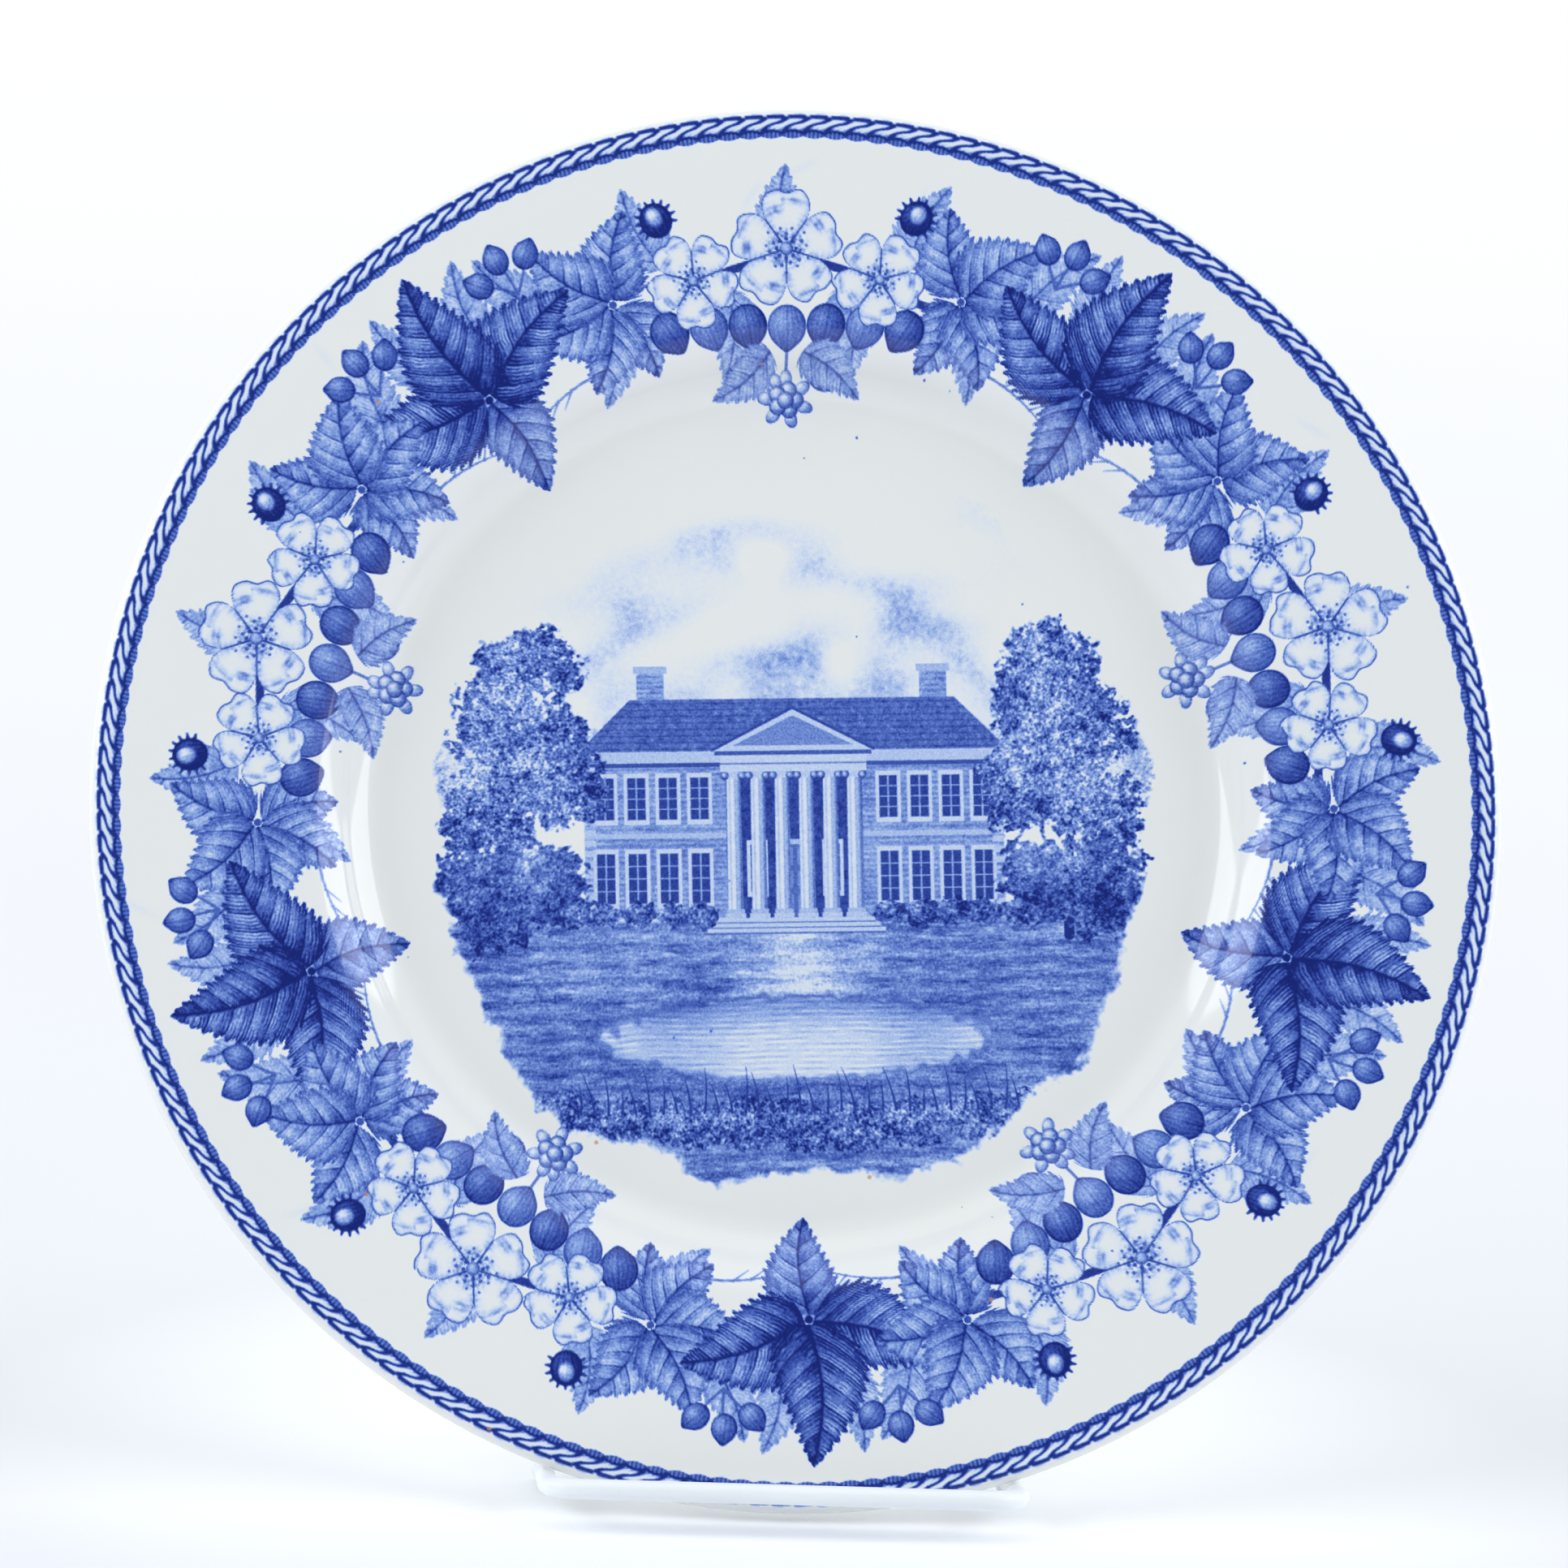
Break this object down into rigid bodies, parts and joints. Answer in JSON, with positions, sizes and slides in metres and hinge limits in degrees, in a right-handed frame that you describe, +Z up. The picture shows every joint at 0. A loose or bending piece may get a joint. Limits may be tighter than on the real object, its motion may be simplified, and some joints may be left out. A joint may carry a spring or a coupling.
{
  "type": "souvenir plate on wire stand",
  "caption": "Round printed souvenir plate leaning on a folding white wire display stand: lip bar under the rim, back loop behind it and a hinged rear leg.",
  "frame": {"origin": "middle of the object's box on the table, between the lip bar and the rear leg's foot bar", "axes": "+Z up from the table; the plate's face looks towards -Y and leans back; +X to the right of someone who looks at the plate's face"},
  "size_m": [0.267, 0.1076, 0.2555],
  "materials": {
    "glazed_earthenware": "clear gloss glaze over a blue underglaze print on a cool cream-white body",
    "white_vinyl": "dipped white vinyl, softly glossy",
    "steel_wire": "plain drawn wire",
    "zinc_steel": "bright zinc plate",
    "cap_nylon": "moulded white nylon"
  },
  "bodies": {
    "front_frame": {"cradle_wire": "steel_wire", "back_loop_wire": "steel_wire", "hinge_rod": "zinc_steel", "front_frame_coating": "white_vinyl", "left_hinge_cap": "cap_nylon", "right_hinge_cap": "cap_nylon"},
    "rear_leg": {"rear_leg_wire": "steel_wire", "rear_leg_coating": "white_vinyl", "left_pivot_sleeve": "zinc_steel", "right_pivot_sleeve": "zinc_steel"},
    "plate": {"plate": "glazed_earthenware"}
  },
  "joints": [
    {"name": "rear_leg_fold", "type": "hinge", "parent": "front_frame", "child": "rear_leg", "pos_m": [0, 0.01768, 0.10488], "axis": [-1, 0, 0], "range_deg": [0, 35]},
    {"name": "plate_lift", "type": "slide", "parent": "front_frame", "child": "plate", "axis": [0, 0.309, 0.9511], "range_m": [0, 0.16]}
  ]
}
